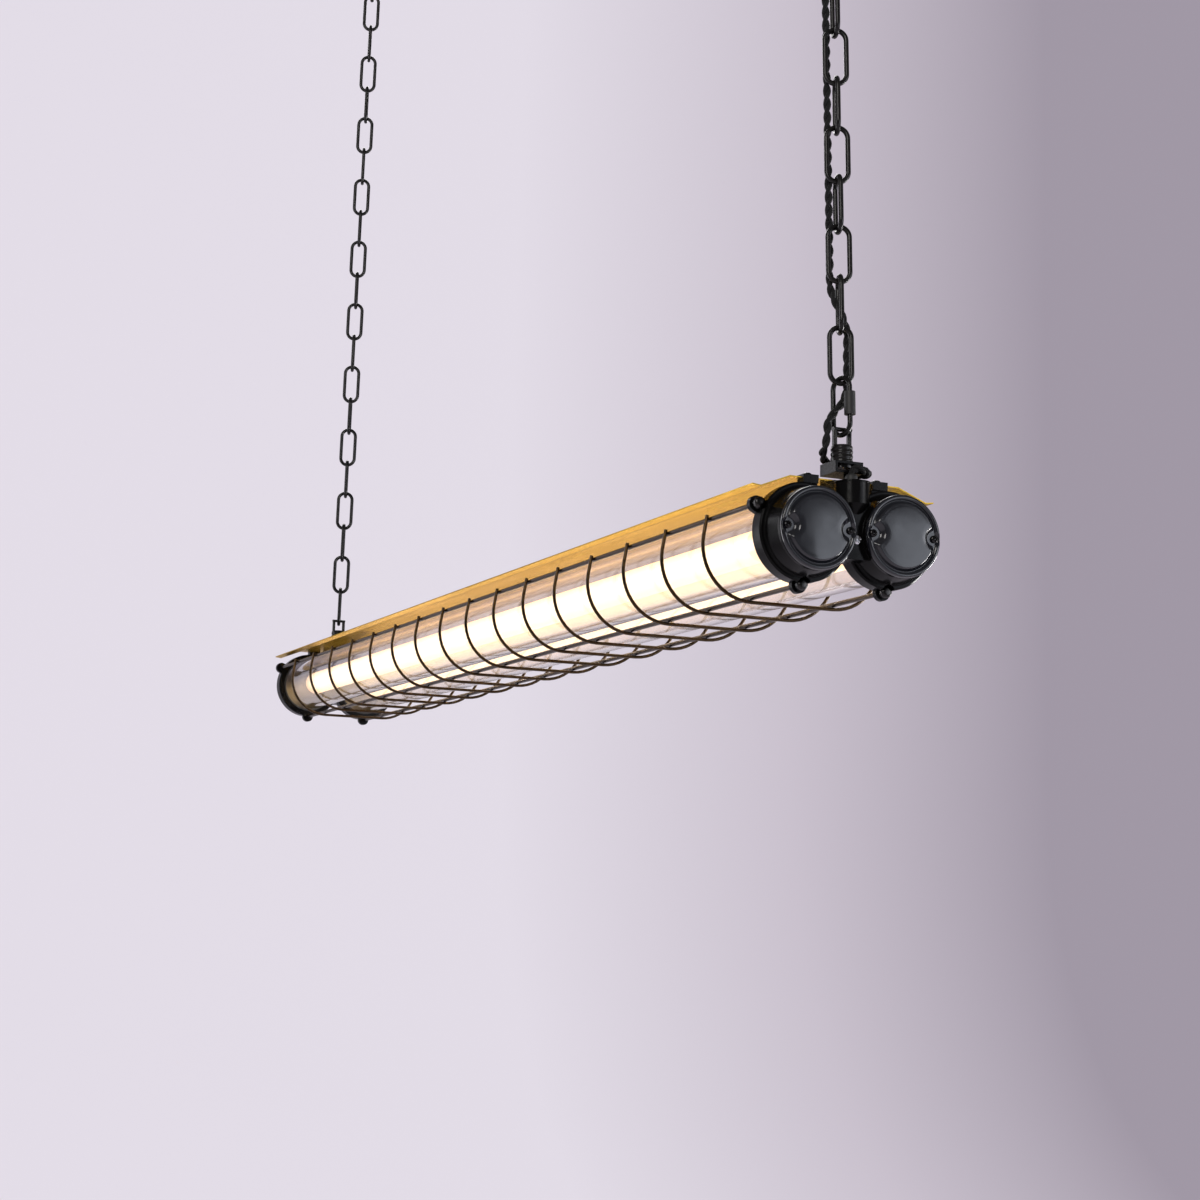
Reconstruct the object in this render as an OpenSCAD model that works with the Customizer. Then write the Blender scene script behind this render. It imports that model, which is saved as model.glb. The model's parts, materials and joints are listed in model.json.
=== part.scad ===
// Glass tube pendant light: two caged glass tubes under one folded reflector,
// closed by cast end castings and hung from the ceiling on two chains.
// Millimetres, +Z up, +Y along the tubes. The origin lies on the ceiling,
// midway between the two ceiling hooks.

/* [Lamps and glass] */
// Length of each lamp between the faces of its end caps
lamp_len = 1200; // [900:50:1500]
// Diameter of each lamp
lamp_d = 26; // [24:0.5:30]
// Length of a lamp's end cap
lamp_cap_len = 18; // [12:1:30]
// Distance from a lamp's end face to the face of the end ring
lamp_inset = 35; // [25:1:50]
// Outer diameter of each glass tube
glass_d = 60; // [56:0.5:62]
// Wall of each glass tube
glass_wall = 3; // [2:0.25:5]
// Distance between the axes of the two tubes
tube_spacing = 72.5; // [70:0.5:90]

/* [End castings] */
// Outer diameter of the ring round each tube
ring_d = 76.5; // [74:0.5:80]
// Length of that ring along the tube
ring_w = 14; // [10:1:20]
// Diameter of the cup where it leaves the ring
cup_d = 68; // [66:0.5:70]
// Diameter of the cup at its cover
cup_end_d = 62.6; // [60:0.2:66]
// Length of ring and cup together
cup_len = 32; // [28:1:45]
// Inner diameter of the cup
cup_bore_d = 54.4; // [50:0.2:55]
// Depth of the socket that holds the glass
socket_len = 12; // [8:1:14]
// Thickness of the rubber sleeve round the glass
seal_wall = 1.7; // [1:0.1:2.5]
// Thickness of the ears that hold the cage rods
ear_t = 5; // [3:0.5:8]
// Radius of the round end of an ear
ear_r = 6.2; // [5.5:0.1:8]
// Diameter of the upright cord boss
boss_d = 28; // [24:0.5:32]
// Height of the cord boss above the tubes' axes
boss_top = 40.2; // [38:0.1:44]
// Distance of the cord boss's axis from the ring's face
boss_out = 20; // [18:0.5:24]
// Sideways place of the cord hole in the boss
cord_hole_x = -0.5; // [-3:0.5:9]
// Height of the gland round the cord on top of the boss
gland_h = 6; // [4:0.1:10]

/* [Covers] */
// Diameter of a cover
cover_d = 63.5; // [62:0.5:68]
// Height of a cover's raised face
cover_h = 5.6; // [4.5:0.1:8]
// Distance of a cover screw from the tube's axis
cover_screw_r = 26.5; // [25:0.5:28]
// Radius of the scalloped notch round a cover screw
notch_r = 6.4; // [5:0.1:8]
// Thickness of the gasket behind a cover
gasket_t = 1; // [0.5:0.1:2]
// Diameter of a cover screw's shank
cover_screw_d = 3; // [2.5:0.1:4]

/* [Cage] */
// Number of hoops
hoop_count = 16; // [8:1:24]
// Distance from a ring's face to the first hoop
end_gap = 72.5; // [40:0.5:100]
// Wire of a hoop
hoop_d = 3; // [2:0.25:4]
// Diameter of a cage rod
rod_d = 4; // [3:0.25:5]
// Distance of a lower rod from its tube's axis
rod_r = 39.2; // [38.5:0.1:41]
// Distance of an upper rod from its tube's axis
upper_rod_r = 41.3; // [41:0.1:44]
// Angle of the upper rods above the tubes' axes
rod_up = 28.3; // [20:0.1:40]
// Length of the hoop's bare end above the upper rod
hoop_tip = 2.5; // [1:0.5:12]
// Diameter of a rod's cap nut
nut_d = 9.2; // [8:0.2:10]
// Length of a rod's cap nut
nut_len = 7; // [5:0.5:9]

/* [Reflector] */
// Height of the reflector's underside above the tubes' axes
roof_z = 42.2; // [41.5:0.1:48]
// Thickness of the reflector sheet
sheet_t = 1; // [0.6:0.1:2]
// Half width of the reflector's flat middle
roof_flat = 47; // [44:1:56]
// Width of a sloping wing, seen from above
wing_w = 24.5; // [15:0.1:40]
// Drop of a sloping wing
wing_drop = 9.8; // [5:0.1:14]
// Width of the lip along each wing
lip_w = 7; // [4:0.5:12]
// How far the reflector reaches past a ring's face
roof_over = 9; // [4:0.5:11]

/* [Hangers] */
// Distance of a hanger's axis from the ring's face, outwards
hanger_out = 4; // [2:0.5:6]
// Width and depth of a hanger's box
box_w = 24; // [22:1:30]
// Height of a hanger's box
box_h = 9.2; // [8:0.1:14]
// Wall of a hanger's box
box_wall = 2; // [1.5:0.1:3]
// Height of the foot under a hanger's box
foot_h = 5; // [3:0.5:8]
// Sideways place of that foot and its screw
foot_x = 5.5; // [0:0.5:5.5]
// Diameter of the threaded stud under the loop
stud_d = 16; // [14:0.5:18]
// Bare length of the stud between box and loop
stud_len = 14; // [8:0.5:20]
// Outer width of the hanger loop
loop_w = 15.5; // [15:0.5:20]
// Outer height of the hanger loop
loop_h = 14; // [13:0.5:24]
// Thickness of the loop's bars
bar_t = 3; // [2:0.1:4]
// Depth of the loop's bars
bar_w = 5; // [4:0.1:6]

/* [Chains and ceiling] */
// Wire of a chain link
wire_d = 4; // [3:0.1:4.5]
// Outer length of a chain link
link_len = 49; // [40:0.5:60]
// Outer width of a chain link
link_w = 21; // [19:0.5:26]
// Number of links in a chain, always even
link_pairs = 10; // [4:1:16]
// Turn of the chains about their own line
link_turn = -18; // [-30:1:30]
// Extra turn of the last link over the cord end
last_turn = 36; // [0:1:40]
// How far each ceiling hook stands inside its hanger
hook_inset = 39; // [0:1:60]
// Wire of a ceiling hook
hook_d = 5; // [4:0.25:6]
// Radius of a ceiling hook's bend
hook_r = 10; // [9:0.5:14]
// Diameter of the ceiling canopy
canopy_d = 110; // [100:2:140]
// Depth of the ceiling canopy and of the far ceiling rose
canopy_h = 26; // [22:1:40]
// Wall of the ceiling canopy
canopy_wall = 1.5; // [1:0.1:3]
// Distance between the two ceiling screws of a fitting
screw_pitch = 50; // [44:1:56]
// Diameter of a ceiling screw hole
screw_hole_d = 5.2; // [4:0.1:6]
// Diameter of the fabric cord
cord_d = 6.5; // [5:0.1:7]

/* [Hidden] */
$fn = 64;
eps = 0.01;

// Clearances: a running or sliding fit, and a gap between curved faces that only touch
fit = 0.05;
touch = 0.3;

ring_span = lamp_len + 2 * lamp_inset;
hoop_pitch = (ring_span - 2 * end_gap) / (hoop_count - 1);
tube_x = tube_spacing / 2;
ring_r = ring_d / 2;
glass_r = glass_d / 2;
socket_r = glass_r + seal_wall + 2 * fit;
glass_end = socket_len - seal_wall - 2 * fit;
rod_rad = rod_d / 2;
hoop_rad = hoop_d / 2;
hoop_r = rod_r + rod_rad + hoop_rad + fit;
hoop_turn = rod_up - acos(min(1, rod_r / upper_rod_r));
hoop_rise = upper_rod_r * sin(rod_up - hoop_turn);
wire_rad = wire_d / 2;
hook_rad = hook_d / 2;
crown_r = (link_w - wire_d) / 2;
link_straight = link_len - link_w;
crown_span = link_len - wire_d;
link_pitch = crown_span - wire_d - touch;
loop_play = 0.6;

// Heights above the tubes' axes
box_z = roof_z + sheet_t + foot_h;
box_top = box_z + box_h;
loop_z = box_top + stud_len;
bar_z = loop_z + loop_h - bar_t / 2;

// The chain's line, from the bend of the hook down to the bar of the loop
link_count = 2 * link_pairs;
swing_s = crown_span - hook_rad - wire_rad - touch;
last_s = swing_s + (link_count - 1) * link_pitch;
bar_s = last_s - wire_rad - loop_play - bar_t / 2;
hanger_y = ring_span / 2 + hanger_out;
hook_y = hanger_y - hook_inset;
lean = asin(hook_inset / bar_s);

// Heights below the ceiling
collar_h = 5;
hook_neck = 5;
hook_z = -(canopy_h + collar_h + hook_neck + 2 * hook_r);
axis_z = hook_z - bar_s * cos(lean) - bar_z;

// Where the clips, pillars and screws stand
clip_x = 30;
clip_w = 13;
pillar_r = 4;
pillar_out = 19;
web_t = 12;
web_out = 28;
web_low = -20;
web_high = 25;
pad_low = 20;
tongue_t = 7;
post_low = 30;
post_out = 9;
clip_t = 2;
clip_len = 15;
clip_drop = roof_z - ring_r - touch;
clip_screw_r = 1.8;
box_screw_r = 2;
box_head_r = 4.2;
foot_r = 3.6;
web_screw_r = 2;
web_head_r = 3.6;
web_screw_z = -5;
cord_grip_r = cord_d / 2 + 1.15;
cord_hole = 14;
box_hole = 9;
cover_seat = 2.2;
cover_screw_len = 11;
screw_play = 0.2;
stud_r = 4;
hook_swell = 1.2;
wobble = 3;
grommet_y = 24;
grommet_r = cord_d / 2 + 2;
bracket_t = 3;
bracket_w = 22;
block_w = 26;
block_d = 14;
block_h = 12;
lamp_wall = 0.8;

black = [0.09, 0.09, 0.095];
steel = [0.62, 0.62, 0.64];
gold = [0.85, 0.72, 0.48];
rubber = [0.05, 0.05, 0.05];

// Cord routes, in round numbers. Along the chain a point is [across, along, distance
// down the chain's line] from the bend of the near hook. On the lamp it is [across,
// along from the near hanger's axis, height above the tubes' axes].
CORD_TOP = [[0, 24, -41], [0, 24, -31], [0, 24, -25], [0, 21.2, -16], [0, 18, -8],
            [0, 17, -4], [0, 17, -0.6]];
CORD_LINK = [[0, 17, -0.2], [0, 17, 3], [-3, 16, 11], [-9, 12.5, 20], [-13.6, 6, 29],
             [-13.6, 0, 37.5], [-13.6, 0, 39.7]];
CORD_RUN = [[-13.6, 0, 40.7], [-13.6, 0, 43], [-10, 5, 56], [-5, 7.6, 68], [-4, 7.6, 82],
            [-4, 7.6, 160], [-4, 7.6, 250], [-4, 7.6, 340], [-4, 7.6, 430], [-4, 7.6, 520],
            [-4, 7.6, 600], [-4, 7.6, 670], [-4, 7.6, 692], [-2.4, 4.8, 704],
            [0.4, 1.8, 713], [5, 2.2, 722], [8, 3.8, 731.5], [7.6, 3.8, 750],
            [7.5, 3.8, 767], [6.7, 3.8, 776], [4.6, 2.5, 782], [0.2, 0.3, 789], [-6, -0.6, 796],
            [-11.5, -0.2, 803], [-12.6, 0, 807], [-12.6, 0, 809]];
CORD_TAIL = [[-12.6, 0, 83.4], [-12.6, 0, 80], [-13.5, 1.5, 70.5], [-12.5, 7.5, 65],
             [-7.5, 13.5, 62], [0, 16.8, 59.4], [8, 17, 57], [14.6, 14.4, 54.5], [16.2, 5, 51.5],
             [16.2, -6, 49.2], [15, -14, 48.6], [9.8, -17.6, 50], [4.4, -17.4, 51.2],
             [0.4, -16.3, 49.6], [-0.5, -16, 46.4], [-0.5, -16, 40], [-0.5, -16, 30]];

// A smooth line through points p: Catmull-Rom pieces of n steps each
function at_end(p, i) = p[max(0, min(len(p) - 1, i))];
function blend4(a, b, c, d, t) =
  0.5 * (2 * b + (c - a) * t + (2 * a - 5 * b + 4 * c - d) * t * t
         + (3 * b - a - 3 * c + d) * t * t * t);
function steps_for(a, b) = max(1, round(norm(b - a) / (3 * cord_d)));
function smooth(p) = concat(
  [for (i = [0:len(p) - 2], n = [steps_for(p[i], p[i + 1])], k = [0:n - 1])
     blend4(at_end(p, i - 1), p[i], p[i + 1], at_end(p, i + 2), k / n)],
  [p[len(p) - 1]]);

// A round tube of radius r along the points p, as one polyhedron with flat ends
function unit(v) = v / norm(v);
function heading(p, i) = unit(at_end(p, i + 1) - at_end(p, i - 1));
function side_dir(d) = unit(cross(d, abs(d[1]) < 0.9 ? [0, 1, 0] : [1, 0, 0]));
module tube_along(p, r, sides = 10) {
  n = len(p);
  rings = [for (i = [0:n - 1], d = [heading(p, i)], u = [side_dir(d)], v = [cross(d, u)],
           k = [0:sides - 1]) p[i] + r * (cos(k * 360 / sides) * u + sin(k * 360 / sides) * v)];
  skin = [for (i = [0:n - 2], k = [0:sides - 1], a = [i * sides], m = [(k + 1) % sides])
          each [[a + k, a + sides + k, a + m], [a + m, a + sides + k, a + sides + m]]];
  start_cap = [for (k = [0:sides - 1]) k];
  end_cap = [for (k = [0:sides - 1]) n * sides - 1 - k];
  polyhedron(points = rings, faces = concat(skin, [start_cap, end_cap]));
}

// Frames: the lamp's own height, its two ends with outwards along -Y, and the chains
module on_lamp() translate([0, 0, axis_z]) children();
module near_end() on_lamp() translate([0, -ring_span / 2, 0]) children();
module far_end() on_lamp() translate([0, ring_span / 2, 0]) rotate([0, 0, 180]) children();
module both_ends() { near_end() children(); far_end() children(); }
module near_line() translate([0, -hook_y, hook_z]) rotate([-lean, 0, 0]) children();
module far_line() translate([0, hook_y, hook_z]) rotate([lean, 0, 0]) children();
module outwards(h) translate([0, -h, 0]) rotate([90, 0, 0]) children();
module each_tube() { for (s = [-1, 1]) translate([s * tube_x, 0, 0]) children(); }

// The centres of the four rod ears, seen from the end
function ear_at(s, upper) = upper
  ? [s * (tube_x + upper_rod_r * cos(rod_up)), upper_rod_r * sin(rod_up)]
  : [s * tube_x, -rod_r];
module each_ear() {
  for (s = [-1, 1], upper = [false, true], c = [ear_at(s, upper)])
    translate([c[0], 0, c[1]]) children();
}

// Ring and cup round one tube, as a turned profile with a fillet behind the ring
module cup_outside() {
  edge = 1.2;
  fillet = 1.5;
  rotate_extrude() polygon([[0, 0], [ring_r - edge, 0], [ring_r, edge],
    [ring_r, ring_w - edge], [ring_r - edge, ring_w], [cup_d / 2 + fillet, ring_w],
    [cup_d / 2 + fillet * 0.3, ring_w + fillet * 0.3], [cup_d / 2, ring_w + fillet],
    [cup_end_d / 2, cup_len - 3], [cup_end_d / 2, cup_len], [0, cup_len]]);
}

// One ear with its round end, reaching into the ring
module ear_plate(s, upper) {
  turn = upper ? (s > 0 ? -rod_up : 180 + rod_up) : 90;
  reach = upper ? upper_rod_r : rod_r;
  root = 6;
  outwards(0) linear_extrude(ear_t) translate([s * tube_x, 0]) rotate(-turn) {
    translate([reach, 0]) circle(ear_r);
    translate([ring_r - root, -ear_r]) square([reach - ring_r + root, 2 * ear_r]);
  }
}

module cord_boss() {
  rim_h = 1.2;
  body_r = boss_d / 2 - 0.6;
  root_r = 4;
  root_low = 2;
  root_high = 10;
  body_low = 22.5;
  translate([0, -boss_out, 0]) rotate_extrude() polygon([
    [0, root_low], [root_r, root_low], [root_r + 1, root_high], [body_r, body_low],
    [body_r, boss_top - rim_h], [boss_d / 2, boss_top - rim_h],
    [boss_d / 2, boss_top], [0, boss_top]]);
}

module end_casting(with_cord) {
  color(black) difference() {
    union() {
      difference() {
        union() {
          each_tube() outwards(0) cup_outside();
          for (s = [-1, 1], upper = [false, true]) ear_plate(s, upper);
          cord_boss();
          // Web between the cups
          translate([-web_t, -web_out, web_low])
            cube([2 * web_t, web_out - 4, web_high - web_low]);
          // Pad under the hanger, with its tongue over the glass
          translate([-box_w / 2, -ring_w, pad_low]) cube([box_w, ring_w, roof_z - pad_low]);
          translate([-box_w / 2, -eps, roof_z - tongue_t])
            cube([box_w, box_w / 2 - hanger_out, tongue_t]);
          // Posts under the reflector's corners
          for (s = [-1, 1])
            translate([s * clip_x - clip_w / 2, -post_out, post_low])
              cube([clip_w, post_out - 1, roof_z - post_low]);
        }
        each_tube() {
          outwards(-eps) cylinder(r = socket_r, h = socket_len + eps);
          outwards(0) cylinder(d = cup_bore_d, h = cup_len + eps);
        }
        // Room for the cap nuts in front of the ears
        each_ear() outwards(ear_t) cylinder(d = nut_d + 1.2, h = cup_len);
        // Spot face for the web screw's head
        translate([0, 0, web_screw_z]) outwards(web_out) cylinder(r = web_head_r + fit, h = cup_len);
      }
      // Pillars for the cover screws, which also seat the lamp holders
      each_tube() for (s = [-1, 1]) translate([s * cover_screw_r, 0, 0])
        outwards(pillar_out) cylinder(r = pillar_r, h = cup_len - pillar_out);
    }
    each_ear() outwards(-eps) cylinder(r = rod_rad + fit, h = ear_t + 1);
    each_tube() for (s = [-1, 1]) translate([s * cover_screw_r, 0, 0])
      outwards(cup_len - 10) cylinder(r = cover_screw_d / 2 + fit, h = 11);
    for (s = [-1, 1]) translate([s * clip_x, -post_out / 2, roof_z - 8])
      cylinder(r = clip_screw_r + fit, h = 9);
    translate([foot_x, -hanger_out, roof_z - box_hole])
      cylinder(r = box_screw_r + fit, h = box_hole + 1);
    translate([0, 0, web_screw_z]) outwards(web_out - 8) cylinder(r = web_screw_r + fit, h = 9);
    if (with_cord)
      translate([cord_hole_x, -boss_out, boss_top - cord_hole])
        cylinder(r = cord_grip_r + fit, h = cord_hole + 1);
  }
}
module near_casting() near_end() end_casting(true);
module far_casting() far_end() end_casting(false);

// Rubber sleeve with an inner flange that the end of the glass stands on
module glass_seals() color(rubber) both_ends() each_tube() outwards(0) rotate_extrude()
  polygon([[glass_r + fit, 0], [socket_r - fit, 0], [socket_r - fit, socket_len - fit],
           [cup_bore_d / 2 + fit, socket_len - fit], [cup_bore_d / 2 + fit, glass_end + fit],
           [glass_r + fit, glass_end + fit]]);

module glass_tube(s) color([0.86, 0.84, 0.86, 0.4]) on_lamp()
  translate([s * tube_x, ring_span / 2 + glass_end, 0]) rotate([90, 0, 0]) difference() {
    cylinder(r = glass_r, h = ring_span + 2 * glass_end);
    translate([0, 0, -eps])
      cylinder(r = glass_r - glass_wall, h = ring_span + 2 * glass_end + 2 * eps);
  }
module left_glass() glass_tube(-1);
module right_glass() glass_tube(1);

// Pressed cover: rounded rim, groove, raised face and two scalloped screw seats
module cover() {
  r = cover_d / 2;
  rim_z = cover_h - 1.6;
  bead = 1.9;
  groove = 1.2;
  face_x = r - 6.2;
  shoulder = 1.4;
  color(black) outwards(cup_len + gasket_t) difference() {
    rotate_extrude() polygon(concat(
      [[0, 0], [r - 0.6, 0], [r, 0.6]],
      [for (a = [0:15:150]) [r - bead + bead * cos(a), rim_z - bead + bead * sin(a)]],
      [for (a = [330:-20:250]) [r - 5 + groove * cos(a), rim_z - 0.9 + groove * sin(a)]],
      [for (a = [0:15:90])
         [face_x - shoulder + shoulder * cos(a), cover_h - shoulder + shoulder * sin(a)]],
      [[0, cover_h]]));
    for (s = [-1, 1]) translate([s * cover_screw_r, 0, 0]) {
      translate([0, 0, cover_seat]) cylinder(r = notch_r, h = cover_h);
      translate([0, 0, -eps]) cylinder(r = cover_screw_d / 2 + screw_play, h = cover_h);
    }
  }
}
module near_left_cover() near_end() translate([-tube_x, 0, 0]) cover();
module near_right_cover() near_end() translate([tube_x, 0, 0]) cover();
module far_left_cover() far_end() translate([tube_x, 0, 0]) cover();
module far_right_cover() far_end() translate([-tube_x, 0, 0]) cover();

// Gasket with a lobe round each screw
module cover_gaskets() color(rubber) both_ends() each_tube() outwards(cup_len) difference() {
  union() {
    cylinder(d = cup_end_d - 0.4, h = gasket_t);
    for (s = [-1, 1]) translate([s * cover_screw_r, 0, 0]) cylinder(r = pillar_r - 0.2, h = gasket_t);
  }
  translate([0, 0, -eps]) cylinder(r = cover_screw_r - pillar_r - 0.5, h = gasket_t + 1);
  for (s = [-1, 1]) translate([s * cover_screw_r, 0, -eps])
    cylinder(r = cover_screw_d / 2 + 0.3, h = gasket_t + 1);
}

// A pan-head screw with its head's seat at height zero
module pan_screw(shank_r, shank_len, head_r, head_h) {
  rotate_extrude() polygon([[0, -shank_len], [shank_r, -shank_len], [shank_r, 0], [head_r, 0],
    [head_r, head_h * 0.5], [head_r * 0.8, head_h * 0.9], [head_r * 0.5, head_h], [0, head_h]]);
}
module cover_screws() color(black) both_ends() each_tube() for (s = [-1, 1])
  translate([s * cover_screw_r, 0, 0]) outwards(cup_len + gasket_t + cover_seat)
    pan_screw(cover_screw_d / 2, cover_screw_len, 3, 2.2);
module web_screws() color(steel) both_ends() translate([0, 0, web_screw_z])
  outwards(web_out) pan_screw(web_screw_r, 7, web_head_r, 2.2);

// Lamps: the lit tube, its two caps with their pins, and the holders in the cups
module lamp_tube(s) color([1, 0.97, 0.85]) on_lamp()
  translate([s * tube_x, lamp_len / 2 - lamp_cap_len, 0]) rotate([90, 0, 0]) difference() {
    cylinder(d = lamp_d, h = lamp_len - 2 * lamp_cap_len);
    translate([0, 0, -eps]) cylinder(r = lamp_d / 2 - lamp_wall, h = lamp_len);
  }
module left_lamp() lamp_tube(-1);
module right_lamp() lamp_tube(1);
pin_pitch = 12.7;
pin_r = 1.2;
pin_len = 7;
module lamp_caps() color([0.9, 0.9, 0.88]) both_ends() each_tube()
outwards(-lamp_inset - lamp_cap_len) {
  rotate_extrude() polygon([[0, 0], [lamp_d / 2, 0], [lamp_d / 2, lamp_cap_len - 1],
    [lamp_d / 2 - 1, lamp_cap_len], [0, lamp_cap_len]]);
  for (s = [-1, 1]) translate([0, s * pin_pitch / 2, lamp_cap_len - eps])
    cylinder(r = pin_r, h = pin_len + eps);
}
module lamp_holder() {
  flange_t = 3;
  neck_r = 15.5;
  color([0.92, 0.92, 0.9]) outwards(-lamp_inset + touch) difference() {
    rotate_extrude() polygon([[0, 0], [neck_r - 2, 0], [neck_r, 2],
      [neck_r, lamp_inset + pillar_out - flange_t - touch],
      [cup_bore_d / 2 - 0.3, lamp_inset + pillar_out - flange_t - touch],
      [cup_bore_d / 2 - 0.3, lamp_inset + pillar_out - touch],
      [0, lamp_inset + pillar_out - touch]]);
    for (s = [-1, 1]) translate([0, s * pin_pitch / 2, -eps])
      cylinder(r = pin_r + fit, h = pin_len + 1);
  }
}
module near_lamp_holders() near_end() each_tube() lamp_holder();
module far_lamp_holders() far_end() each_tube() lamp_holder();

// Cage: four rods through the ears, and hoops welded under and round them
nut_hold = ear_t + fit + nut_len - 2.4;
module cage_rods() color(black) on_lamp() translate([0, ring_span / 2 + nut_hold, 0])
  each_ear() rotate([90, 0, 0]) cylinder(r = rod_rad, h = ring_span + 2 * nut_hold);
// One side of a hoop: a bend round the tube, then a straight end past the upper rod, with a
// small bead of weld between them
module hoop_side() translate([tube_x, 0, 0]) rotate([90, 0, 0]) {
  bead = 0.15;
  part = 0.3;
  rotate([0, 0, -90]) rotate_extrude(angle = 90 + hoop_turn - part * 180 / (PI * hoop_r))
    translate([hoop_r, 0]) circle(hoop_rad, $fn = 24);
  rotate([0, 0, hoop_turn]) translate([hoop_r, 0, 0]) {
    sphere(r = hoop_rad + bead, $fn = 24);
    rotate([-90, 0, 0]) translate([0, 0, part])
      cylinder(r = hoop_rad, h = hoop_rise + hoop_tip - part, $fn = 24);
  }
}
module hoop() {
  hoop_side();
  mirror([1, 0, 0]) hoop_side();
  translate([-tube_x, 0, -hoop_r]) rotate([0, 90, 0])
    cylinder(r = hoop_rad, h = 2 * tube_x, $fn = 24);
}
module cage_hoops() color(black) on_lamp()
  for (i = [0:hoop_count - 1]) translate([0, -ring_span / 2 + end_gap + i * hoop_pitch, 0]) hoop();
module rod_nuts() color(black) both_ends() each_ear() outwards(ear_t + fit) difference() {
  rotate_extrude() polygon([[0, 0], [nut_d / 2 - 0.5, 0], [nut_d / 2, 0.5],
    [nut_d / 2, nut_len - 2], [nut_d / 2 - 1.2, nut_len - 0.6], [nut_d / 2 - 2.6, nut_len],
    [0, nut_len]]);
  translate([0, 0, -eps]) cylinder(r = rod_rad + fit, h = nut_len - 2.2);
}

// Reflector: one folded sheet with a flat middle, two wings and a lip along each wing
function roof_line(t) = let (x1 = roof_flat, x2 = x1 + wing_w, x3 = x2 + lip_w,
    z1 = roof_z, z2 = z1 - wing_drop) [
  [-x3, z2 + t + 0.8], [-x2, z2 + t], [-x1, z1 + t], [x1, z1 + t], [x2, z2 + t], [x3, z2 + t + 0.8]];
module reflector() color(gold) on_lamp() difference() {
  translate([0, ring_span / 2 + roof_over, 0]) rotate([90, 0, 0])
    linear_extrude(ring_span + 2 * roof_over)
      polygon(concat(roof_line(sheet_t), [for (i = [5:-1:0]) roof_line(0)[i]]));
  for (e = [-1, 1]) {
    for (s = [-1, 1]) translate([s * clip_x, e * (ring_span / 2 + post_out / 2), roof_z - 1])
      cylinder(r = clip_screw_r + fit, h = sheet_t + 2);
    translate([-e * foot_x, e * (ring_span / 2 + hanger_out), roof_z - 1])
      cylinder(r = box_screw_r + fit, h = sheet_t + 2);
  }
}
module reflector_clips() color(black) both_ends() for (s = [-1, 1])
  translate([s * clip_x, 0, 0]) difference() {
    union() {
      translate([-clip_w / 2, -post_out - clip_t, roof_z - clip_drop])
        cube([clip_w, clip_t, clip_drop + sheet_t + clip_t]);
      translate([-clip_w / 2, -post_out - eps, roof_z + sheet_t]) cube([clip_w, clip_len, clip_t]);
    }
    translate([0, -post_out / 2, roof_z]) cylinder(r = clip_screw_r + fit, h = 9);
  }
module clip_screws() color(black) both_ends() for (s = [-1, 1])
  translate([s * clip_x, -post_out / 2, roof_z + sheet_t + clip_t])
    pan_screw(clip_screw_r, 9, 3.4, 2.4);

// Hangers: a box section on a round foot, a threaded stud and its square loop
box_room = box_h - 2 * box_wall;
nut_h = 0.45 * box_room;
stud_in = box_wall + nut_h;
module hanger_box() color(black) translate([0, -hanger_out, 0]) difference() {
  union() {
    translate([-box_w / 2, -box_w / 2, box_z]) cube([box_w, box_w, box_h]);
    translate([foot_x, 0, box_z - foot_h]) cylinder(r = foot_r, h = foot_h + eps);
  }
  translate([-box_w / 2 + box_wall, -box_w / 2 - eps, box_z + box_wall])
    cube([box_w - 2 * box_wall, box_w + 2 * eps, box_h - 2 * box_wall]);
  translate([0, 0, box_top - box_wall - 1]) cylinder(r = stud_d / 2 + fit, h = box_wall + 2);
  translate([foot_x, 0, box_z - foot_h - 1])
    cylinder(r = box_screw_r + fit, h = foot_h + box_wall + 2);
}
module near_hanger_box() near_end() hanger_box();
module far_hanger_box() far_end() hanger_box();

// A bar with rounded edges along X, its middle at the origin
module round_bar(length, thick, deep) {
  translate([-length / 2, -(deep - thick) / 2, -thick / 2]) cube([length, deep - thick, thick]);
  for (s = [-1, 1]) translate([-length / 2, s * (deep - thick) / 2, 0])
    rotate([0, 90, 0]) cylinder(d = thick, h = length);
}
module hanger_loop() color(black) translate([0, -hanger_out, 0]) {
  groove = 0.5;
  turns = 4;
  translate([0, 0, box_top - stud_in]) rotate_extrude() polygon(concat(
    [[0, 0], [stud_d / 2 - groove, 0], [stud_d / 2, groove], [stud_d / 2, stud_in]],
    [for (i = [0:turns - 1], k = [0, 1]) [stud_d / 2 - (k == 0 ? groove : 0),
       stud_in + (i + 0.5 + 0.5 * k) * (stud_len - 2) / turns]],
    [[stud_d / 2, stud_in + stud_len - 0.6], [stud_d / 2 - 0.6, stud_in + stud_len],
     [0, stud_in + stud_len]]));
  for (s = [-1, 1]) translate([s * (loop_w - bar_t) / 2, 0, loop_z + (loop_h - bar_t / 2) / 2 - 1])
    rotate([0, 90, 0]) round_bar(loop_h - bar_t / 2 + 2, bar_t, bar_w);
  translate([0, 0, bar_z]) round_bar(loop_w, bar_t, bar_w);
}
module near_hanger_loop() near_end() hanger_loop();
module far_hanger_loop() far_end() hanger_loop();
module hanger_nuts() color(black) both_ends() translate([0, -hanger_out, box_top - stud_in])
  difference() {
    cylinder(d = box_w - 2 * box_wall - 0.6, h = nut_h - fit);
    translate([0, 0, -eps]) cylinder(r = stud_d / 2 + fit, h = stud_in);
  }
module box_screws() color([0.75, 0.5, 0.25]) both_ends()
  translate([foot_x, -hanger_out, box_z + box_wall])
    pan_screw(box_screw_r, box_wall + foot_h + sheet_t + box_hole - 2, box_head_r, nut_h);

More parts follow.
